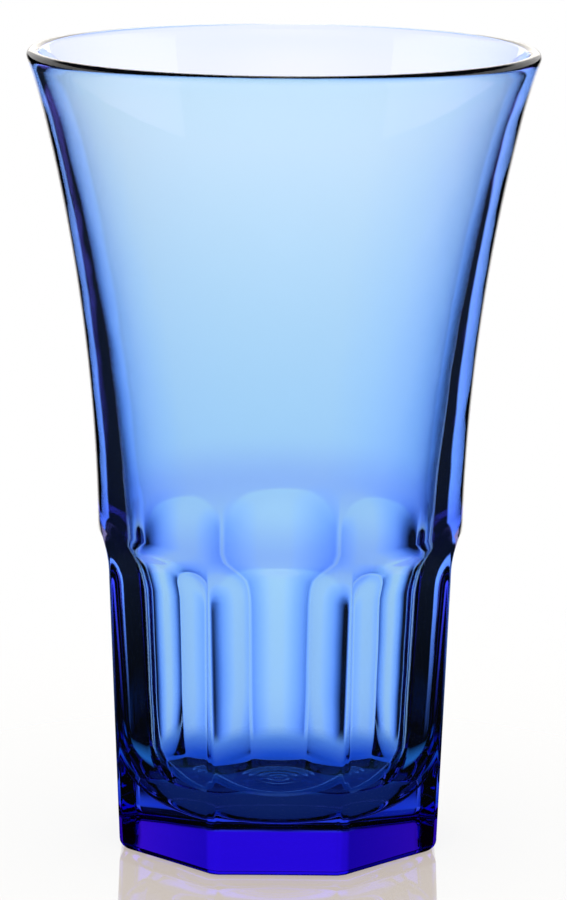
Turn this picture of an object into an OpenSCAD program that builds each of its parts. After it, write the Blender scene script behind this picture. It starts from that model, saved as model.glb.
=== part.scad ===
// Heavy pressed-glass tumbler with a flared bowl and a panelled barrel
// The axis of the glass is Z, and the table is the plane z = 0

/* [Overall] */
// Height from the table to the top of the lip
height = 140; // [125:1:160]

/* [Bowl] */
// Height of the waist, the narrowest part of the round wall
waist_z = 50; // [46:1:54]
// Outer diameter where the lip starts to turn out
lip_root_d = 82.8; // [78:0.2:90]
// Height of the turned-out lip
lip_h = 11; // [6:1:16]
// Radius of the arc that turns the lip out
lip_turn_r = 95; // [70:5:150]
// Thickness of the wall at the lip
lip_wall = 2.2; // [1.8:0.1:3]
// How far the fire-polished bead of the lip swells past the wall
lip_swell = 0.1; // [0.05:0.01:0.3]

/* [Panels] */
// Number of flat panels round the barrel
panel_count = 8; // [6:1:12]
// Distance across opposite panels at the table
foot_across_flats = 55.6; // [50:0.1:62]
// Draft of the panels, in degrees
panel_draft = 2.15; // [1:0.05:3]
// Height at which the panels stop being flat
panel_top_z = 49.3; // [40:0.1:52]
// Depth of the panels below the round wall at the waist
panel_depth = 2.32; // [1.6:0.02:2.6]
// Radius of the scoop in which each panel runs out to the round wall
run_out_r = 11; // [8:0.5:30]
// How far the ridges between the panels are blunted at the foot
ridge_blunt = 0.3; // [0.2:0.05:0.8]
// Height of the plain round band between the panel crowns and the bowl
crown_band_h = 2; // [1:0.5:5]

/* [Cavity] */
// Height of the throat, where the flared part of the cavity ends
throat_z = 60; // [50:1:70]
// How far the wall of the cavity lies inside the waist at the throat
throat_wall = 4.52; // [3.5:0.02:6.5]
// Draft of the cavity below the throat, in degrees
cavity_draft = 3.8; // [2:0.1:5]
// Thickness of the solid base under the cavity
base_t = 7; // [5:0.5:14]
// Radius of the fillet between the floor and the wall of the cavity
floor_fillet = 14; // [8:0.5:16]

/* [Foot] */
// Radius of the rounded heel round the foot
heel_r = 2; // [1:0.1:3]
// Diameter of the shallow recess under the base
recess_d = 40; // [24:1:44]
// Depth of that recess
recess_depth = 0.3; // [0.2:0.1:1.5]

/* [Hidden] */
// Facets of the plain round shapes and of the long, shallow arcs
$fn = 96;
long_arc_fn = 256;
// How far a cut runs past the face that it opens
overrun = 1;

// Glass as it looks in a thin, a middling and a thick place
bowl_blue = [0.60, 0.80, 0.98];
barrel_blue = [0.36, 0.60, 0.95];
base_blue = [0.14, 0.10, 0.70];

// Panels, and the ridges that they leave on the round barrel
foot_apothem = foot_across_flats / 2;
panel_top_apothem = foot_apothem + panel_top_z * tan(panel_draft);
ridge_foot_r = foot_apothem / cos(180 / panel_count) - ridge_blunt;
waist_r = panel_top_apothem + panel_depth;
ridge_draft = atan((waist_r - ridge_foot_r) / waist_z);

// Flare of the outer wall: an arc from the upright waist to the root of the lip
lip_root_r = lip_root_d / 2;
lip_root_z = height - lip_h;
flare_out = lip_root_r - waist_r;
flare_rise = lip_root_z - waist_z;
flare_r = (flare_rise ^ 2 + flare_out ^ 2) / (2 * flare_out);
flare_centre = [waist_r + flare_r, waist_z];

// Turned-out lip: a tighter arc, tangent to the flare at the root of the lip
flare_lean = asin(flare_rise / flare_r);
lip_centre = [
    lip_root_r + lip_turn_r * cos(flare_lean),
    lip_root_z - lip_turn_r * sin(flare_lean)
];
lip_lean = asin((height - lip_centre.y) / lip_turn_r);

// Bead of the lip, centred in the thickness of the wall
half_wall = lip_wall / 2;
bead_r = half_wall / cos(lip_lean) + lip_swell;
bead_z = height - bead_r;
bead_centre = [
    lip_centre.x - sqrt((lip_turn_r + half_wall) ^ 2 - (bead_z - lip_centre.y) ^ 2),
    bead_z
];

// Cavity: a drafted wall up to the throat, then an arc that ends half a wall from the bead's centre
throat_r = waist_r - throat_wall;
throat_to_bead = bead_centre - [throat_r, throat_z];
cavity_arc_r = (throat_to_bead * throat_to_bead - half_wall ^ 2)
    / (2 * (throat_to_bead * [cos(cavity_draft), -sin(cavity_draft)] - half_wall));
cavity_centre = [
    throat_r + cavity_arc_r * cos(cavity_draft),
    throat_z - cavity_arc_r * sin(cavity_draft)
];

// Fillet of the cavity floor, tangent to the floor and to the drafted wall
base_top_z = base_t + floor_fillet;
fillet_centre = [
    throat_r - (throat_z - base_top_z) * tan(cavity_draft) - floor_fillet / cos(cavity_draft),
    base_top_z
];
fillet_end = fillet_centre + floor_fillet * [cos(cavity_draft), -sin(cavity_draft)];

// Scoop at the top of a panel, and the height at which its crown reaches the radius of the waist
scoop_centre = [
    panel_top_apothem + run_out_r * cos(panel_draft),
    panel_top_z - run_out_r * sin(panel_draft)
];
crown_z = scoop_centre.y + sqrt(run_out_r ^ 2 - (scoop_centre.x - waist_r) ^ 2);
bowl_z = crown_z + crown_band_h;

// Width that reaches past every outer surface
reach = lip_root_r + lip_h;

// Sphere that leaves a recess of the given width and depth
recess_sphere_r = ((recess_d / 2) ^ 2 + recess_depth ^ 2) / (2 * recess_depth);

// Strip of the half section between two heights
module band(z0, z1) {
    translate([0, z0]) square([reach, z1 - z0]);
}

// What a rounded heel takes off a wall of the given draft that meets the table at foot_x
module heel_cut(foot_x, draft) {
    heel_x = foot_x + heel_r * (tan(draft) - 1 / cos(draft));
    difference() {
        translate([heel_x, -overrun]) square([reach, overrun + heel_r * (1 - sin(draft))]);
        translate([heel_x, heel_r]) circle(heel_r);
    }
}

// Half section of the glass as if it were solid and round, up to the bead
module outer_section() {
    difference() {
        polygon([[0, 0], [ridge_foot_r, 0], [waist_r, waist_z], [0, waist_z]]);
        heel_cut(ridge_foot_r, ridge_draft);
    }
    difference() {
        band(waist_z, lip_root_z);
        translate(flare_centre) circle(flare_r, $fn = long_arc_fn);
    }
    difference() {
        band(lip_root_z, bead_z);
        translate(lip_centre) circle(lip_turn_r, $fn = long_arc_fn);
    }
}

// Half section of the space inside, open past the lip
module cavity_section() {
    polygon([[0, base_t], [fillet_centre.x, base_t], fillet_end, [throat_r, throat_z], [0, throat_z]]);
    translate(fillet_centre) circle(floor_fillet);
    difference() {
        band(throat_z, height + overrun);
        translate(cavity_centre) circle(cavity_arc_r, $fn = long_arc_fn);
    }
}

// Half section of one zone of the glass between two heights, before the panels are pressed
module zone_section(z0, z1) {
    difference() {
        intersection() {
            outer_section();
            band(z0, z1);
        }
        cavity_section();
    }
}

// Side view of what one panel takes off: a drafted flat, a scoop at the top and the heel at the foot
module panel_cut() {
    flat_h = panel_top_z / cos(panel_draft) + overrun;
    translate([panel_top_apothem, panel_top_z]) rotate(-panel_draft) {
        translate([0, -flat_h]) square([run_out_r, flat_h]);
        translate([run_out_r, 0]) circle(run_out_r, $fn = long_arc_fn);
    }
    heel_cut(foot_apothem, panel_draft);
}

// All panels, pressed into the zone that is given as the child
module pressed() {
    difference() {
        children();
        for (i = [0 : panel_count - 1])
            rotate([0, 0, i * 360 / panel_count])
                rotate([90, 0, 0])
                    linear_extrude(2 * reach, center = true) panel_cut();
    }
}

module flared_bowl() {
    color(bowl_blue) rotate_extrude() {
        zone_section(bowl_z, bead_z);
        translate(bead_centre) circle(bead_r);
    }
}

module panelled_barrel() {
    color(barrel_blue) pressed() rotate_extrude() zone_section(base_top_z, bowl_z);
}

module heavy_base() {
    color(base_blue) difference() {
        pressed() rotate_extrude() zone_section(0, base_top_z);
        translate([0, 0, recess_depth - recess_sphere_r]) sphere(recess_sphere_r, $fn = long_arc_fn);
    }
}

flared_bowl();
panelled_barrel();
heavy_base();
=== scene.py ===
"""Looks of a blue pressed-glass tumbler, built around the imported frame."""

import logging
import math
from dataclasses import dataclass
from enum import Enum

import bpy
from mathutils import Matrix, Vector


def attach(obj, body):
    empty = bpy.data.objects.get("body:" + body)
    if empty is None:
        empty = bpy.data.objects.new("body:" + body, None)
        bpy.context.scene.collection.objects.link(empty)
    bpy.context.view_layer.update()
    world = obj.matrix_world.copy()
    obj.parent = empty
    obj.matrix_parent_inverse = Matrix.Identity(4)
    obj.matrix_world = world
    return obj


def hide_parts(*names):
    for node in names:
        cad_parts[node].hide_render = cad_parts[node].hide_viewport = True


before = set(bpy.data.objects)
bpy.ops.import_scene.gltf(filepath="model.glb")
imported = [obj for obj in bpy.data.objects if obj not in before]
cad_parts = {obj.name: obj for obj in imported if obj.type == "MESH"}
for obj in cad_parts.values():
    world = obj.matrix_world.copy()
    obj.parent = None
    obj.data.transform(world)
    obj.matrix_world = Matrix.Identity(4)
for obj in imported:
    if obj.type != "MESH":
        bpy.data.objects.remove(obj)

LOG = logging.getLogger("tumbler")
MM = 0.001

Point = tuple[float, float]
Place = tuple[float, float, float]
Edge = tuple[float, float]
Colour = tuple[float, float, float, float]
Stops = tuple[tuple[float, Colour], ...]
Socket = bpy.types.NodeSocket
Value = Socket | float | Place | Colour

WHITE: Colour = (1.0, 1.0, 1.0, 1.0)
# Pale blue light that the glass casts, painted on the table and shown by the world to rays going
# steeply down
PALE_BLUE: Colour = (0.55, 0.72, 0.95, 1.0)


class RayFact(Enum):
    """Facts about a ray that the studio answers to."""

    CAMERA = "Is Camera Ray"
    GLOSSY = "Is Glossy Ray"
    TRANSMISSION = "Is Transmission Ray"
    REFLECTIONS = "Glossy Depth"
    SURFACES = "Transmission Depth"


class Op(Enum):
    """Kinds of arithmetic that a node does."""

    SUBTRACT = "SUBTRACT"
    MULTIPLY = "MULTIPLY"
    MULTIPLY_ADD = "MULTIPLY_ADD"
    DIVIDE = "DIVIDE"
    MAXIMUM = "MAXIMUM"
    LESS_THAN = "LESS_THAN"
    GREATER_THAN = "GREATER_THAN"
    COSINE = "COSINE"
    ARCCOSINE = "ARCCOSINE"
    ARCTAN2 = "ARCTAN2"
    LENGTH = "LENGTH"
    SCALE = "SCALE"


def arc(centre: Point, radius: float, start: float, end: float, steps: int) -> list[Point]:
    """Points along an arc in the half section.

    Args:
        centre: Centre of the arc.
        radius: Radius of the arc.
        start: Angle of the first point, in degrees.
        end: Angle of the last point, in degrees.
        steps: Number of steps between them.

    Returns:
        The points, both ends included.
    """
    angles = [math.radians(start + (end - start) * i / steps) for i in range(steps + 1)]
    return [(centre[0] + radius * math.cos(a), centre[1] + radius * math.sin(a)) for a in angles]


def line(start: Point, end: Point, steps: int) -> list[Point]:
    """Points along a straight stretch of the half section.

    Args:
        start: First point.
        end: Last point.
        steps: Number of steps between them.

    Returns:
        The points, both ends included.
    """
    return [
        (start[0] + (end[0] - start[0]) * i / steps, start[1] + (end[1] - start[1]) * i / steps)
        for i in range(steps + 1)
    ]


def soft_least(a: float, b: float, blend: float) -> float:
    """The lesser of two lengths, rounded where they cross.

    Args:
        a: First length.
        b: Second length.
        blend: Difference over which the crossing is rounded.

    Returns:
        The rounded minimum.
    """
    near = max(blend - abs(a - b), 0.0) / blend
    return min(a, b) - near * near * blend / 4


@dataclass(frozen=True)
class Nodes:
    """Short ways to add and link the nodes of one tree."""

    tree: bpy.types.NodeTree

    def fill(self, node: bpy.types.Node, inputs: dict[str | int, Value]) -> bpy.types.Node:
        """Link or set the inputs of a node.

        Args:
            node: Node to fill.
            inputs: Socket, number or colour for each input, by its name or place in the list.

        Returns:
            The same node.
        """
        for name, value in inputs.items():
            if isinstance(value, Socket):
                self.tree.links.new(value, node.inputs[name])
            else:
                node.inputs[name].default_value = value
        return node

    def add(self, kind: str, inputs: dict[str | int, Value]) -> bpy.types.Node:
        """Add a node of some kind and fill its inputs."""
        return self.fill(self.tree.nodes.new(kind), inputs)

    def shader(self, kind: str, inputs: dict[str | int, Value]) -> Socket:
        """Add a shader of some kind, fill its inputs and return its output."""
        return self.add(kind, inputs).outputs[0]

    def added_shaders(self, one: Socket, other: Socket) -> Socket:
        """Two shaders on top of each other."""
        return self.shader("ShaderNodeAddShader", {0: one, 1: other})

    def mixed_shaders(self, factor: Socket, one: Socket, other: Socket) -> Socket:
        """Two shaders blended, the first at 0 and the second at 1."""
        return self.shader("ShaderNodeMixShader", {"Fac": factor, 1: one, 2: other})

    def show(self, surface: Socket) -> None:
        """Give a finish its surface."""
        self.fill(self.tree.nodes["Material Output"], {"Surface": surface})

    def number(self, op: Op, *values: Socket | float) -> Socket:
        """One step of arithmetic with numbers.

        Args:
            op: Kind of arithmetic.
            values: Sockets or plain numbers that go in.

        Returns:
            The result.
        """
        node = self.tree.nodes.new("ShaderNodeMath")
        node.operation = op.value
        return self.fill(node, dict(enumerate(values))).outputs[0]

    def vector(self, op: Op, inputs: dict[str | int, Value]) -> bpy.types.Node:
        """One step of arithmetic with colours or places.

        Args:
            op: Kind of arithmetic.
            inputs: What goes into each input, by its name or place in the list.

        Returns:
            The node.
        """
        node = self.tree.nodes.new("ShaderNodeVectorMath")
        node.operation = op.value
        return self.fill(node, inputs)

    def product(self, *factors: Socket) -> Socket:
        """Numbers multiplied with each other.

        Args:
            factors: Sockets that go in.

        Returns:
            The result.
        """
        total = factors[0]
        for factor in factors[1:]:
            total = self.number(Op.MULTIPLY, total, factor)
        return total

    def ramp(self, value: Socket, edge: Edge) -> Socket:
        """Smooth step.

        Args:
            value: Socket that goes in.
            edge: Value that gives 0 and value that gives 1.

        Returns:
            The result.
        """
        node = self.tree.nodes.new("ShaderNodeMapRange")
        node.interpolation_type = "SMOOTHSTEP"
        self.fill(node, {"Value": value, "From Min": edge[0], "From Max": edge[1]})
        return node.outputs["Result"]

    def stops(self, value: Socket, stops: Stops) -> Socket:
        """Colours that blend from stop to stop.

        Args:
            value: Socket that goes in.
            stops: Values in rising order, with their colours.

        Returns:
            The colour.
        """
        last = stops[-1][0]
        ramp = self.add("ShaderNodeValToRGB", {"Fac": self.number(Op.DIVIDE, value, last)})
        elements = ramp.color_ramp.elements
        while len(elements) < len(stops):
            elements.new(0.5)
        for element, (place, colour) in zip(elements, stops):
            element.position = place / last
            element.color = colour
        return ramp.outputs["Color"]

    def mixed(self, factor: Socket, one: Socket | Colour, other: Socket | Colour) -> Socket:
        """Two colours blended.

        Args:
            factor: Share of the second colour.
            one: First colour.
            other: Second colour.

        Returns:
            The colour.
        """
        node = self.tree.nodes.new("ShaderNodeMix")
        node.data_type = "RGBA"
        return self.fill(node, {"Factor": factor, "A": one, "B": other}).outputs["Result"]

    def scaled(self, colour: Socket | Colour, level: Socket) -> Socket:
        """A socket's colour or a plain colour, multiplied by a level."""
        first = colour[:3] if isinstance(colour, tuple) else colour
        return self.vector(Op.SCALE, {0: first, "Scale": level}).outputs[0]

    def combined(self, op: Op, one: Socket, other: Socket | Place) -> Socket:
        """Two colours or places combined channel by channel."""
        return self.vector(op, {0: one, 1: other}).outputs[0]

    def lightest(self, *colours: Socket) -> Socket:
        """The greatest of some colours, channel by channel.

        Args:
            colours: Sockets that go in.

        Returns:
            The colour.
        """
        total = colours[0]
        for colour in colours[1:]:
            total = self.combined(Op.MAXIMUM, total, colour)
        return total

    def place(self) -> tuple[Socket, Socket, Socket]:
        """Place of a point on its object.

        Returns:
            The place, its distance from the axis and its height.
        """
        place = self.add("ShaderNodeTexCoord", {}).outputs["Object"]
        height = self.add("ShaderNodeSeparateXYZ", {0: place}).outputs["Z"]
        flat = self.combined(Op.MULTIPLY, place, (1.0, 1.0, 0.0))
        return place, self.vector(Op.LENGTH, {0: flat}).outputs["Value"], height

    def ray(self, fact: RayFact) -> Socket:
        """A fact about the ray."""
        return self.add("ShaderNodeLightPath", {}).outputs[fact.value]

    def at_most(self, fact: RayFact, count: int) -> Socket:
        """1 for rays that have met no more than a number of surfaces, and 0 for all others."""
        return self.number(Op.LESS_THAN, self.ray(fact), count + 0.5)

    def at_least(self, fact: RayFact, count: int) -> Socket:
        """1 for rays that have met at least a number of surfaces, and 0 for all others."""
        return self.number(Op.GREATER_THAN, self.ray(fact), count - 0.5)


def bare_finish(name: str) -> tuple[bpy.types.Material, Nodes]:
    """Make a material without a surface.

    Args:
        name: Name of the material.

    Returns:
        The material and its nodes.
    """
    material = bpy.data.materials.new(name)
    material.use_nodes = True
    tree = material.node_tree
    tree.nodes.remove(tree.nodes["Principled BSDF"])
    return material, Nodes(tree)


@dataclass(frozen=True)
class BlueGlass:
    """Cobalt-tinted pressed glass: pale where it is thin, violet-blue where it is thick."""

    name: str = "blue_glass"
    index: float = 1.52
    transmission: float = 0.998
    absorbed_colour: Colour = (0.52, 0.633, 0.947, 1.0)
    absorbed_density: float = 150.0

    # Tint of the surface by height, in metres
    tints: Stops = (
        (0.01, (0.72, 0.92, 1.0, 1.0)),
        (0.045, (0.72, 0.93, 1.0, 1.0)),
        (0.07, (0.8, 1.0, 1.0, 1.0)),
        (0.095, (0.835, 1.0, 1.0, 1.0)),
        (0.128, (0.9, 1.0, 1.0, 1.0)),
        (0.136, (0.86, 0.99, 1.0, 1.0)),
    )

    # Outside of the foot
    base_tint: Colour = (0.45, 0.004, 1.0, 1.0)
    base_z: Edge = (0.0092, 0.0082)
    base_r: Edge = (0.0245, 0.026)

    # Outside of the shoulder above the panels: a deeper tint for its thicker glass, partly painted
    # shade
    shoulder_tint_and_shade: Colour = (0.5, 0.62, 1.0, 1.0)
    shoulder_top: Edge = (0.066, 0.057)
    shoulder_foot: Edge = (0.0475, 0.057)
    shoulder_r: Edge = (0.0315, 0.0318)

    # Slow waves all over, with a polish that follows them
    wave_scale: float = 90.0
    wave_detail: float = 1.0
    wave_depth: float = 0.00004
    most_rough: float = 0.012

    # Rings on the floor of the cavity
    ring_scale: float = 105.0
    ring_depth: float = 0.00012
    ring_z: Edge = (0.003, 0.004)
    ring_r: Edge = (0.0115, 0.0085)

    def build(self) -> bpy.types.Material:
        """Make the material.

        Returns:
            The finished material.
        """
        material = bpy.data.materials.new(self.name)
        material.use_nodes = True
        nodes = Nodes(material.node_tree)
        shader = nodes.tree.nodes["Principled BSDF"]
        nodes.fill(shader, {"Transmission Weight": self.transmission, "IOR": self.index})
        nodes.fill(shader, {"Base Color": self._tint(nodes)})
        self._surface(nodes, shader)
        self._absorption(nodes)
        return material

    def _tint(self, nodes: Nodes) -> Socket:
        """Tint by height, deeper on the shoulder for its thicker glass and for painted shade
        there, and violet where light enters the foot.

        Args:
            nodes: Nodes of the finish.

        Returns:
            The colour.
        """
        _, r, z = nodes.place()
        shoulder = nodes.product(
            nodes.ramp(z, self.shoulder_top),
            nodes.ramp(z, self.shoulder_foot),
            nodes.ramp(r, self.shoulder_r),
        )
        backfacing = nodes.add("ShaderNodeNewGeometry", {}).outputs["Backfacing"]
        entering = nodes.number(Op.SUBTRACT, 1.0, backfacing)
        base = nodes.product(nodes.ramp(z, self.base_z), nodes.ramp(r, self.base_r), entering)
        # The shoulder's deeper tint is partly painted shade
        body = nodes.mixed(shoulder, nodes.stops(z, self.tints), self.shoulder_tint_and_shade)
        return nodes.mixed(base, body, self.base_tint)

    def _surface(self, nodes: Nodes, shader: bpy.types.Node) -> None:
        """Slow waves and floor rings that the mould leaves, and a polish that varies faintly.

        Args:
            nodes: Nodes of the finish.
            shader: Shader that gets the roughness and the normal.
        """
        place, r, z = nodes.place()
        noise = {"Vector": place, "Scale": self.wave_scale, "Detail": self.wave_detail}
        waves = nodes.add("ShaderNodeTexNoise", noise).outputs["Fac"]
        rings = nodes.add("ShaderNodeTexWave", {"Vector": place, "Scale": self.ring_scale})
        rings.wave_type = "RINGS"
        rings.rings_direction = "Z"
        pressed = nodes.product(
            rings.outputs["Fac"], nodes.ramp(z, self.ring_z), nodes.ramp(r, self.ring_r)
        )
        marks = nodes.add("ShaderNodeBump", {"Height": pressed, "Distance": self.ring_depth})
        bump = nodes.add("ShaderNodeBump", {"Height": waves, "Distance": self.wave_depth})
        nodes.fill(bump, {"Normal": marks.outputs["Normal"]})
        polish = nodes.add("ShaderNodeMapRange", {"Value": waves, "To Max": self.most_rough})
        nodes.fill(shader, {"Normal": bump.outputs["Normal"]})
        nodes.fill(shader, {"Roughness": polish.outputs["Result"]})

    def _absorption(self, nodes: Nodes) -> None:
        """Absorption inside the glass, so that thick places are deeper in colour.

        Args:
            nodes: Nodes of the finish.
        """
        inputs = {"Color": self.absorbed_colour, "Density": self.absorbed_density}
        volume = nodes.shader("ShaderNodeVolumeAbsorption", inputs)
        nodes.fill(nodes.tree.nodes["Material Output"], {"Volume": volume})


@dataclass(frozen=True)
class PaleTable:
    """Pale, shiny table that fades into the white round it. Radii are in metres."""

    name: str = "pale_table"
    glow: Colour = (0.45, 0.4, 0.36, 1.0)
    paint: Colour = (0.2, 0.18, 0.17, 1.0)
    shine: Colour = (0.38, 0.45, 0.5, 1.0)
    roughness: float = 0.03
    fade: Edge = (0.06, 0.2)

    # Seen steeply, the table is plain: as light as the glow and the shine together
    plain: Colour = (0.83, 0.85, 0.86, 1.0)
    mirror_slant: Edge = (0.06, 0.2)

    # Seen through the glass, straight, steeply and after a reflection: painted shadow under the
    # foot and painted blue light that the glass casts on the table round it and, seen steeply,
    # under it
    painted_shadow_and_blue_light: Stops = (
        (0.0, (0.004, 0.03, 0.16, 1.0)),
        (0.022, (0.008, 0.05, 0.25, 1.0)),
        (0.03, (0.07, 0.25, 0.8, 1.0)),
        (0.04, (0.5, 0.7, 1.0, 1.0)),
    )
    painted_steep_blue_light: Colour = PALE_BLUE
    under_slant: Edge = (0.0355, 0.042)
    beside_foot: Edge = (0.036, 0.046)
    # After a reflection: painted shadow under the foot, painted blue light beside it, and dark
    # farther out
    mirrored: Stops = (
        (0.0, (0.01, 0.03, 0.1, 1.0)),
        (0.028, (0.02, 0.05, 0.15, 1.0)),
        (0.036, (0.05, 0.3, 0.6, 1.0)),
        (0.06, (0.0, 0.0, 0.0, 1.0)),
    )

    def build(self) -> bpy.types.Material:
        """Make the material.

        Returns:
            The finished material.
        """
        material, nodes = bare_finish(self.name)
        _, r, _ = nodes.place()
        facing = nodes.add("ShaderNodeFresnel", {}).outputs[0]
        straight = nodes.at_most(RayFact.REFLECTIONS, 0)
        through = nodes.product(straight, nodes.ray(RayFact.TRANSMISSION))
        seen = nodes.mixed_shaders(
            nodes.number(Op.SUBTRACT, straight, through),
            self._through_glass(nodes, r, facing),
            self._top(nodes, facing),
        )
        beside = nodes.product(through, nodes.ramp(r, self.beside_foot))
        cover = nodes.number(Op.MAXIMUM, beside, nodes.ramp(r, self.fade))
        nodes.show(nodes.mixed_shaders(cover, seen, nodes.shader("ShaderNodeBsdfTransparent", {})))
        return material

    def _top(self, nodes: Nodes, facing: Socket) -> Socket:
        """Top of the table, a mirror only at a slant.

        Args:
            nodes: Nodes of the finish.
            facing: Share of light that the slant of the ray would mirror.

        Returns:
            The shader.
        """
        glow = nodes.shader("ShaderNodeEmission", {"Color": self.glow})
        gloss = {"Color": self.shine, "Roughness": self.roughness}
        shine = nodes.shader("ShaderNodeBsdfGlossy", gloss)
        plain = nodes.shader("ShaderNodeEmission", {"Color": self.plain})
        slanted = nodes.ramp(facing, self.mirror_slant)
        top = nodes.mixed_shaders(slanted, plain, nodes.added_shaders(glow, shine))
        paint = nodes.shader("ShaderNodeBsdfDiffuse", {"Color": self.paint})
        return nodes.added_shaders(top, paint)

    def _through_glass(self, nodes: Nodes, r: Socket, facing: Socket) -> Socket:
        """Table as the glass shows it, with a painted shadow under the foot and painted blue light
        from the glass beside it.

        Args:
            nodes: Nodes of the finish.
            r: Distance from the axis of the glass.
            facing: Share of light that the slant of the ray would mirror.

        Returns:
            The shader.
        """
        slanted = nodes.ramp(facing, self.under_slant)
        # Painted shadow under the foot and painted blue light round it, pale blue when seen
        # steeply
        under = nodes.mixed(slanted, self.painted_steep_blue_light, nodes.stops(r, self.painted_shadow_and_blue_light))
        straight = nodes.at_most(RayFact.REFLECTIONS, 0)
        # Reflected rays get the painted shadow and blue light of the mirrored stops
        shades = nodes.mixed(straight, nodes.stops(r, self.mirrored), under)
        inside = nodes.at_least(RayFact.SURFACES, 1)
        return nodes.shader("ShaderNodeEmission", {"Color": shades, "Strength": inside})


@dataclass(frozen=True)
class CardGlow:
    """Even light of a card."""

    name: str
    level: float
    colour: Colour = (1.0, 0.96, 0.9, 1.0)

    def build(self) -> bpy.types.Material:
        """Make the material.

        Returns:
            The finished material.
        """
        material, nodes = bare_finish(self.name)
        light = {"Color": self.colour, "Strength": self.level}
        nodes.show(nodes.shader("ShaderNodeEmission", light))
        return material


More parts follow.
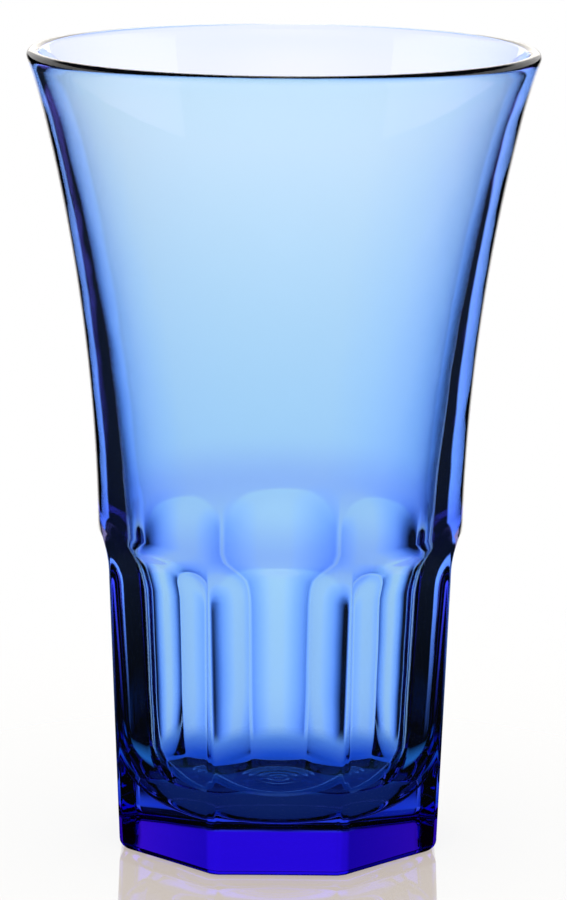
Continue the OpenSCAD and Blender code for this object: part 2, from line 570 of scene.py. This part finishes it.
@dataclass
class Tumbler:
    """The glass in one unbroken mesh. Sizes are in millimetres, the same as the solids'."""

    glass: bpy.types.Material
    height: float = 140.0
    waist_z: float = 50.0
    lip_root_d: float = 82.8
    lip_h: float = 11.0
    lip_turn_r: float = 95.0
    lip_wall: float = 2.2
    panel_count: int = 8
    foot_across_flats: float = 55.6
    panel_draft: float = 2.15
    panel_top_z: float = 49.3
    panel_depth: float = 2.32
    run_out_r: float = 11.0
    ridge_blunt: float = 0.3
    throat_z: float = 60.0
    throat_r: float = 27.45
    cavity_draft: float = 3.8
    base_t: float = 7.0
    floor_fillet: float = 14.0
    heel_r: float = 2.0
    recess_d: float = 40.0
    recess_depth: float = 0.3

    # Rounding of the creases, wider on the crowns
    crease_blend: float = 0.12
    crown_blend: float = 1.5
    crown_from_z: float = 49.1
    crown_to_z: float = 54.1

    # Depth past which a point belongs to the cavity, and height of a point that is off the table
    skin: float = 2.5
    off_table_z: float = 0.001

    # Steps of the mesh along the half section and round the axis
    recess_steps: int = 8
    foot_steps: int = 5
    heel_steps: int = 8
    barrel_steps: int = 40
    flare_steps: int = 52
    lip_steps: int = 8
    bead_steps: int = 14
    bowl_steps: int = 46
    throat_steps: int = 14
    fillet_steps: int = 14
    floor_steps: int = 8
    turns: int = 384
    ridge_crowding: float = 0.65
    weld: float = 0.002

    def __post_init__(self) -> None:
        """Work out the arcs of the half section from the driving sizes."""
        draft = math.radians(self.panel_draft)
        self.foot_apothem = self.foot_across_flats / 2
        self.panel_top_apothem = self.foot_apothem + self.panel_top_z * math.tan(draft)
        ridge_apex = self.foot_apothem / math.cos(math.pi / self.panel_count)
        self.ridge_foot_r = ridge_apex - self.ridge_blunt
        self.waist_r = self.panel_top_apothem + self.panel_depth
        self.ridge_slope = (self.waist_r - self.ridge_foot_r) / self.waist_z
        self.recess_r = self.recess_d / 2
        self.scoop_centre = (
            self.panel_top_apothem + self.run_out_r * math.cos(draft),
            self.panel_top_z - self.run_out_r * math.sin(draft),
        )
        heel_lean = self.ridge_slope - math.hypot(1, self.ridge_slope)
        self.heel_x = self.ridge_foot_r + self.heel_r * heel_lean
        self._flare_and_lip()
        self._cavity()

    def _flare_and_lip(self) -> None:
        """Work out the arc of the flare, the arc of the lip and the bead."""
        lip_root = (self.lip_root_d / 2, self.height - self.lip_h)
        out = lip_root[0] - self.waist_r
        rise = lip_root[1] - self.waist_z
        self.flare_r = (rise**2 + out**2) / (2 * out)
        self.flare_lean = math.asin(rise / self.flare_r)
        self.lip_centre = (
            lip_root[0] + self.lip_turn_r * math.cos(self.flare_lean),
            lip_root[1] - self.lip_turn_r * math.sin(self.flare_lean),
        )
        self.half_wall = self.lip_wall / 2
        middle_r = self.lip_turn_r + self.half_wall
        bead_z = self.height - self.half_wall
        self.lip_lean = math.asin((bead_z - self.lip_centre[1]) / middle_r)
        self.bead_centre = (self.lip_centre[0] - middle_r * math.cos(self.lip_lean), bead_z)

    def _cavity(self) -> None:
        """Work out the arc of the cavity and the fillet of its floor."""
        lean = math.radians(self.cavity_draft)
        across = self.bead_centre[0] - self.throat_r
        up = self.bead_centre[1] - self.throat_z
        self.cavity_arc_r = (across**2 + up**2 - self.half_wall**2) / (
            2 * (across * math.cos(lean) - up * math.sin(lean) - self.half_wall)
        )
        self.cavity_centre = (
            self.throat_r + self.cavity_arc_r * math.cos(lean),
            self.throat_z - self.cavity_arc_r * math.sin(lean),
        )
        bead_rise = self.bead_centre[1] - self.cavity_centre[1]
        self.cavity_lean = math.asin(bead_rise / (self.cavity_arc_r - self.half_wall))
        base_top_z = self.base_t + self.floor_fillet
        wall_r = self.throat_r - (self.throat_z - base_top_z) * math.tan(lean)
        self.fillet_centre = (wall_r - self.floor_fillet / math.cos(lean), base_top_z)

    def section(self) -> list[Point]:
        """Half section of the glass as if it were round.

        Returns:
            The points, from the middle of the foot round the outside, over the lip and down the
            inside to the middle of the floor.
        """
        sphere_r = (self.recess_r**2 + self.recess_depth**2) / (2 * self.recess_depth)
        sphere_centre = (0, self.recess_depth - sphere_r)
        recess_end = 90 - math.degrees(math.asin(self.recess_r / sphere_r))
        heel_end = -math.degrees(math.atan(self.ridge_slope))
        heel = arc((self.heel_x, self.heel_r), self.heel_r, -90, heel_end, self.heel_steps)
        flare_centre = (self.waist_r + self.flare_r, self.waist_z)
        flare_end = 180 - math.degrees(self.flare_lean)
        lip_end = 180 - math.degrees(self.lip_lean)
        bead_start = -math.degrees(self.lip_lean)
        bead_end = 180 - math.degrees(self.cavity_lean)
        bowl_end = 180 - self.cavity_draft
        fillet_start = -self.cavity_draft
        fillet = arc(
            self.fillet_centre, self.floor_fillet, fillet_start, -90, self.fillet_steps
        )
        stretches = [
            arc(sphere_centre, sphere_r, 90, recess_end, self.recess_steps),
            line((self.recess_r, 0), heel[0], self.foot_steps),
            heel,
            line(heel[-1], (self.waist_r, self.waist_z), self.barrel_steps),
            arc(flare_centre, self.flare_r, 180, flare_end, self.flare_steps),
            arc(self.lip_centre, self.lip_turn_r, flare_end, lip_end, self.lip_steps),
            arc(self.bead_centre, self.half_wall, bead_start, bead_end, self.bead_steps),
            arc(self.cavity_centre, self.cavity_arc_r, bead_end, bowl_end, self.bowl_steps),
            line((self.throat_r, self.throat_z), fillet[0], self.throat_steps),
            fillet,
            line(fillet[-1], (0, self.base_t), self.floor_steps),
        ]
        points = [stretches[0][0]]
        for stretch in stretches:
            points.extend(stretch[1:])
        return points

    def panel_x(self, z: float) -> float:
        """Distance of a panel's surface from the axis.

        Args:
            z: Height above the table.

        Returns:
            The distance square to the panel.
        """
        if z <= self.panel_top_z:
            return self.foot_apothem + z * math.tan(math.radians(self.panel_draft))
        rise = min(z - self.scoop_centre[1], self.run_out_r)
        return self.scoop_centre[0] - math.sqrt(self.run_out_r**2 - rise**2)

    def round_r(self, z: float) -> float:
        """Radius of the round wall before the panels are pressed.

        Args:
            z: Height above the table.

        Returns:
            The radius, as if the foot had no heel.
        """
        above_waist = max(z - self.waist_z, 0.0)
        flare = self.flare_r - math.sqrt(self.flare_r**2 - above_waist**2)
        return self.waist_r - self.ridge_slope * max(self.waist_z - z, 0.0) + flare

    def crease(self, z: float) -> float:
        """Width over which a panel blends into the round wall.

        Args:
            z: Height above the table.

        Returns:
            The width.
        """
        share = (z - self.crown_from_z) / (self.crown_to_z - self.crown_from_z)
        share = min(max(share, 0.0), 1.0)
        return self.crease_blend + (self.crown_blend - self.crease_blend) * share

    def pressed_r(self, r: float, turn: float, z: float) -> float:
        """Radius of a point of the round section after the panels are pressed.

        Args:
            r: Radius before.
            turn: Angle round the axis, in radians.
            z: Height above the table.

        Returns:
            The radius after.
        """
        if r <= self.recess_r or z > self.panel_top_z + self.run_out_r / 2:
            return r
        round_r = self.round_r(z)
        inset = round_r - r
        off_table = z > self.off_table_z
        if off_table and inset > self.skin:
            return r
        pitch = 2 * math.pi / self.panel_count
        off = (turn + pitch / 2) % pitch - pitch / 2
        pressed = soft_least(round_r, self.panel_x(z) / math.cos(off), self.crease(z))
        if off_table:
            return pressed - inset
        share = (r - self.recess_r) / (self.heel_x - self.recess_r)
        return self.recess_r + share * (pressed - (round_r - self.heel_x) - self.recess_r)

    def model(self) -> bpy.types.Object:
        """Spin the half section and press the panels.

        Returns:
            The finished mesh object.
        """
        points = self.section()
        bpy.ops.object.select_all(action="DESELECT")
        bpy.ops.mesh.primitive_plane_add(size=MM)
        obj = bpy.context.object
        obj.name = "glass_tumbler"
        bpy.ops.object.mode_set(mode="EDIT")
        bpy.ops.mesh.select_all(action="SELECT")
        bpy.ops.mesh.merge(type="CENTER")
        bpy.ops.transform.translate(value=(points[0][0] * MM, 0, points[0][1] * MM))
        for (r0, z0), (r1, z1) in zip(points, points[1:]):
            step = ((r1 - r0) * MM, 0, (z1 - z0) * MM)
            bpy.ops.mesh.extrude_region_move(TRANSFORM_OT_translate={"value": step})
        bpy.ops.mesh.select_all(action="SELECT")
        bpy.ops.mesh.spin(
            steps=self.turns, angle=2 * math.pi, center=(0, 0, 0), axis=(0, 0, 1)
        )
        bpy.ops.mesh.select_all(action="SELECT")
        bpy.ops.mesh.remove_doubles(threshold=self.weld * MM)
        bpy.ops.mesh.normals_make_consistent(inside=False)
        bpy.ops.object.mode_set(mode="OBJECT")
        self._press(obj.data)
        bpy.ops.object.shade_smooth()
        return obj

    def _press(self, mesh: bpy.types.Mesh) -> None:
        """Press the panels into the round mesh, with the columns crowded towards the ridges.

        Args:
            mesh: The spun mesh.
        """
        for vertex in mesh.vertices:
            x, y, z = vertex.co / MM
            r = math.hypot(x, y)
            turn = math.atan2(y, x)
            turn += self.ridge_crowding * math.sin(self.panel_count * turn) / self.panel_count
            r = self.pressed_r(r, turn, z)
            vertex.co = Vector((r * math.cos(turn), r * math.sin(turn), z)) * MM

    def dress(self, obj: bpy.types.Object) -> None:
        """Give the mesh its glass and nothing else."""
        obj.data.materials.clear()
        obj.data.materials.append(self.glass)

    def build(self) -> bpy.types.Object:
        """Model the glass, dress it and tie it to the frame.

        Returns:
            The finished piece.
        """
        obj = self.model()
        self.dress(obj)
        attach(obj, "root")
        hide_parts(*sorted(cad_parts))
        return obj


@dataclass(frozen=True)
class Table:
    """Table under the glass."""

    finish: PaleTable = PaleTable()
    size: float = 0.6
    z: float = -0.0002

    def build(self) -> bpy.types.Object:
        """Make the table.

        Returns:
            The table object.
        """
        bpy.ops.object.select_all(action="DESELECT")
        bpy.ops.mesh.primitive_plane_add(size=self.size, location=(0, 0, self.z))
        floor = bpy.context.object
        floor.name = "floor"
        floor.data.materials.append(self.finish.build())
        return floor


@dataclass(frozen=True)
class Card:
    """Upright card that shows only in what the outside of the glass mirrors."""

    name: str
    place: Place
    size: float
    level: float

    def build(self) -> bpy.types.Object:
        """Make the card.

        Returns:
            The card object.
        """
        upright = (math.pi / 2, 0, 0)
        bpy.ops.object.select_all(action="DESELECT")
        bpy.ops.mesh.primitive_plane_add(size=self.size, location=self.place, rotation=upright)
        card = bpy.context.object
        card.name = self.name
        card.data.materials.append(CardGlow(self.name, self.level).build())
        card.visible_camera = False
        card.visible_diffuse = False
        card.visible_transmission = False
        card.visible_shadow = False
        return card


@dataclass(frozen=True)
class Backdrop:
    """White for the camera, and panels, gaps and a dark ceiling for what the glass shows.

    Turns round the axis of the glass are in degrees. The rise of a ray is the height of its
    direction, from -1 for straight down to 1 for straight up.
    """

    name: str = "studio"
    ambient: float = 0.9
    through_glass: float = 1.2
    table_rise: Edge = (0.0, 0.04)

    # Mirrored by the outside of the glass
    outside_colour: Colour = (1.0, 0.98, 0.96, 1.0)
    low_ceiling: Edge = (0.5, 0.39)
    behind: Edge = (0.94, 0.982)

    # Seen straight through the glass: panels by the turn from their middle, and diagonal ones
    ceiling: Edge = (40.0, 25.0)
    panel_count: int = 4
    panel_turn: float = -1.8
    panel_glow: Stops = (
        (0.0, (1.0, 1.0, 1.0, 1.0)),
        (4.0, (1.0, 1.0, 1.01, 1.0)),
        (6.5, (0.91, 0.96, 1.06, 1.0)),
        (8.5, (0.84, 0.91, 1.1, 1.0)),
        (11.0, (0.73, 0.84, 1.12, 1.0)),
        (14.0, (0.62, 0.76, 1.12, 1.0)),
        (17.0, (0.5, 0.65, 1.08, 1.0)),
        (20.0, (0.33, 0.48, 0.92, 1.0)),
        (23.0, (0.17, 0.28, 0.6, 1.0)),
        (28.5, (0.0, 0.0, 0.0, 1.0)),
    )
    diagonal_edge: Edge = (8.0, 11.0)
    one_wall_colour: Colour = (1.04, 0.93, 1.0, 1.0)

    # Seen after a reflection inside the glass: a strip by the table and the light above it
    strip_colour: Colour = (0.5, 0.8, 1.6, 1.0)
    strip_turn: float = 4.5
    strip_edge: Edge = (24.0, 28.5)
    strip_rise: Edge = (0.1, 0.0)
    above_colour: Colour = (1.7, 1.0, 1.0, 1.0)
    crossed_level: float = 0.03
    facet_turn: float = 6.0
    facet_swing: float = 0.27

    # Seen steeply down, in the gaps, and at the edges of the barrel after many reflections
    steep_colour: Colour = PALE_BLUE
    steep_rise: Edge = (-0.5, -0.7)
    gap_colour: Colour = (0.65, 0.8, 1.2, 1.0)
    gap_level: float = 0.012
    stray_level: float = 0.07
    edge_colour: Colour = (0.6, 0.4, 1.4, 1.0)
    edge_low: Edge = (-0.37, -0.33)
    edge_high: Edge = (-0.18, -0.24)

    def build(self) -> bpy.types.World:
        """Make the world.

        Returns:
            The finished world.
        """
        world = bpy.data.worlds.new(self.name)
        bpy.context.scene.world = world
        world.use_nodes = True
        nodes = Nodes(world.node_tree)
        direction = nodes.add("ShaderNodeTexCoord", {}).outputs["Generated"]
        split = nodes.add("ShaderNodeSeparateXYZ", {0: direction})
        rise = split.outputs["Z"]
        turn = nodes.number(Op.ARCTAN2, split.outputs["X"], split.outputs["Y"])
        entered = nodes.at_least(RayFact.SURFACES, 1)
        glass = nodes.mixed(
            entered, self._outside(nodes, rise, turn), self._inside(nodes, rise, turn)
        )
        refracted = nodes.ray(RayFact.TRANSMISSION)
        boost = nodes.number(Op.MULTIPLY_ADD, refracted, self.through_glass - 1.0, 1.0)
        seen = nodes.ray(RayFact.CAMERA)
        plain = nodes.number(Op.MULTIPLY_ADD, seen, 1.0 - self.ambient, self.ambient)
        sharp = nodes.number(Op.MAXIMUM, nodes.ray(RayFact.GLOSSY), refracted)
        colour = nodes.mixed(sharp, nodes.scaled(WHITE, plain), nodes.scaled(glass, boost))
        nodes.fill(nodes.tree.nodes["Background"], {"Color": colour})
        return world

    def _outside(self, nodes: Nodes, rise: Socket, turn: Socket) -> Socket:
        """What the outside of the glass mirrors: a low white band, and white behind the glass.

        Args:
            nodes: Nodes of the world.
            rise: Height of a ray's direction.
            turn: Turn of a ray round the axis, in radians.

        Returns:
            The colour.
        """
        behind = nodes.ramp(nodes.number(Op.COSINE, turn), self.behind)
        band = nodes.product(
            nodes.ramp(rise, self.table_rise), nodes.ramp(rise, self.low_ceiling)
        )
        return nodes.scaled(self.outside_colour, nodes.number(Op.MAXIMUM, band, behind))

    def _inside(self, nodes: Nodes, rise: Socket, turn: Socket) -> Socket:
        """What shows through the glass.

        Args:
            nodes: Nodes of the world.
            rise: Height of a ray's direction.
            turn: Turn of a ray round the axis, in radians.

        Returns:
            The colour.
        """
        straight = nodes.at_most(RayFact.REFLECTIONS, 0)
        once = nodes.at_most(RayFact.REFLECTIONS, 1)
        often = nodes.at_least(RayFact.REFLECTIONS, 3)
        mirrored = self._mirrored(nodes, rise, turn, once)
        sides = nodes.mixed(straight, mirrored, self._panels(nodes, turn))
        ceiling = tuple(math.sin(math.radians(angle)) for angle in self.ceiling)
        lit = nodes.scaled(sides, nodes.ramp(rise, ceiling))
        down = nodes.product(once, nodes.ramp(rise, self.steep_rise))
        stray = nodes.number(
            Op.MULTIPLY_ADD, once, self.gap_level - self.stray_level, self.stray_level
        )
        edges = nodes.product(
            often, nodes.ramp(rise, self.edge_low), nodes.ramp(rise, self.edge_high)
        )
        return nodes.lightest(
            lit,
            nodes.scaled(self.steep_colour, down),
            nodes.scaled(self.gap_colour, stray),
            nodes.scaled(self.edge_colour, edges),
        )

    def _mirrored(self, nodes: Nodes, rise: Socket, turn: Socket, once: Socket) -> Socket:
        """What shows after a reflection inside the glass.

        Args:
            nodes: Nodes of the world.
            rise: Height of a ray's direction.
            turn: Turn of a ray round the axis, in radians.
            once: 1 for rays that were reflected once at most, and 0 for all others.

        Returns:
            The colour.
        """
        strip = nodes.product(
            self._panel(nodes, self._wave(nodes, turn, self.strip_turn, 1), 1, self.strip_edge),
            nodes.product(once, nodes.ramp(rise, self.strip_rise)),
        )
        crossed = nodes.at_least(RayFact.SURFACES, 3)
        level = nodes.number(Op.MULTIPLY_ADD, crossed, self.crossed_level - 1.0, 1.0)
        wave = self._wave(nodes, turn, self.facet_turn, self.panel_count)
        facets = nodes.number(Op.MULTIPLY_ADD, wave, self.facet_swing, 1.0 - self.facet_swing)
        above = nodes.product(nodes.ramp(rise, self.table_rise), nodes.product(level, facets))
        return nodes.lightest(
            nodes.scaled(self.strip_colour, strip), nodes.scaled(self.above_colour, above)
        )

    def _panels(self, nodes: Nodes, turn: Socket) -> Socket:
        """White panels, bluer towards their edges, with narrow ones on the diagonals.

        Args:
            nodes: Nodes of the world.
            turn: Turn of a ray round the axis, in radians.

        Returns:
            The colour.
        """
        wave = self._wave(nodes, turn, self.panel_turn, self.panel_count)
        to_degrees = math.degrees(1.0) / self.panel_count
        off = nodes.number(Op.MULTIPLY, nodes.number(Op.ARCCOSINE, wave), to_degrees)
        square_on = nodes.stops(off, self.panel_glow)
        between = nodes.number(Op.MULTIPLY, wave, -1.0)
        diagonal = self._panel(nodes, between, self.panel_count, self.diagonal_edge)
        panels = nodes.lightest(square_on, nodes.scaled(WHITE, diagonal))
        crossed = nodes.at_least(RayFact.SURFACES, 3)
        walls = nodes.mixed(crossed, self.one_wall_colour, WHITE)
        return nodes.combined(Op.MULTIPLY, panels, walls)

    def _wave(self, nodes: Nodes, turn: Socket, middle: float, count: int) -> Socket:
        """Cosine that is 1 at the middle of each of some evenly spaced panels."""
        aside = nodes.number(Op.SUBTRACT, turn, math.radians(middle))
        return nodes.number(Op.COSINE, nodes.number(Op.MULTIPLY, aside, count))

    def _panel(self, nodes: Nodes, wave: Socket, count: int, edge: Edge) -> Socket:
        """1 up to the first turn of an edge from a panel's middle, and 0 from the second on."""
        lit, dark = (math.cos(math.radians(count * angle)) for angle in edge)
        return nodes.ramp(wave, (dark, lit))


@dataclass(frozen=True)
class Studio:
    """Bright-field set: a pale table, cards that the lip mirrors, and a backdrop all round."""

    table: Table = Table()
    bright: Card = Card("bright_card", (0.0, 0.25, 0.252), 0.2, 2.2)
    dark: Card = Card("dark_card", (0.0, -0.165, 0.439), 0.6, 0.0)
    backdrop: Backdrop = Backdrop()

    def build(self) -> list[bpy.types.ID]:
        """Make the table, the cards and the world, and return them in that order."""
        return [part.build() for part in (self.table, self.bright, self.dark, self.backdrop)]


@dataclass(frozen=True)
class PhotoCamera:
    """Camera of the photograph, from a fit to the round rim and the eight-sided foot."""

    distance: float = 0.7279
    height: float = 0.2156
    pitch: float = 11.346
    roll: float = 0.45
    offset_x: float = 0.00044
    focal_px: float = 4236.0
    frame_h_px: float = 900.0
    sensor: float = 36.0

    def build(self) -> bpy.types.Object:
        """Make the camera.

        Returns:
            The camera object.
        """
        data = bpy.data.cameras.new("photo_camera")
        data.sensor_width = self.sensor
        data.lens = self.focal_px / self.frame_h_px * self.sensor
        camera = bpy.data.objects.new("photo_camera", data)
        bpy.context.scene.collection.objects.link(camera)
        tilt = Matrix.Rotation(math.radians(90 - self.pitch), 4, "X")
        roll = Matrix.Rotation(math.radians(self.roll), 4, "Z")
        place = Matrix.Translation((self.offset_x, -self.distance, self.height))
        camera.matrix_world = place @ tilt @ roll
        bpy.context.scene.camera = camera
        return camera


def main() -> None:
    """Build the camera, the glass and the studio."""
    logging.basicConfig(level=logging.INFO, format="%(name)s: %(message)s")
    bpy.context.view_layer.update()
    bpy.context.scene.view_settings.view_transform = "Standard"
    camera = PhotoCamera().build()
    LOG.info("camera %s", camera.name)
    glass = Tumbler(BlueGlass().build()).build()
    LOG.info("piece %s: %d faces", glass.name, len(glass.data.polygons))
    for part in Studio().build():
        LOG.info("set %s", part.name)


if __name__ == "__main__":
    main()
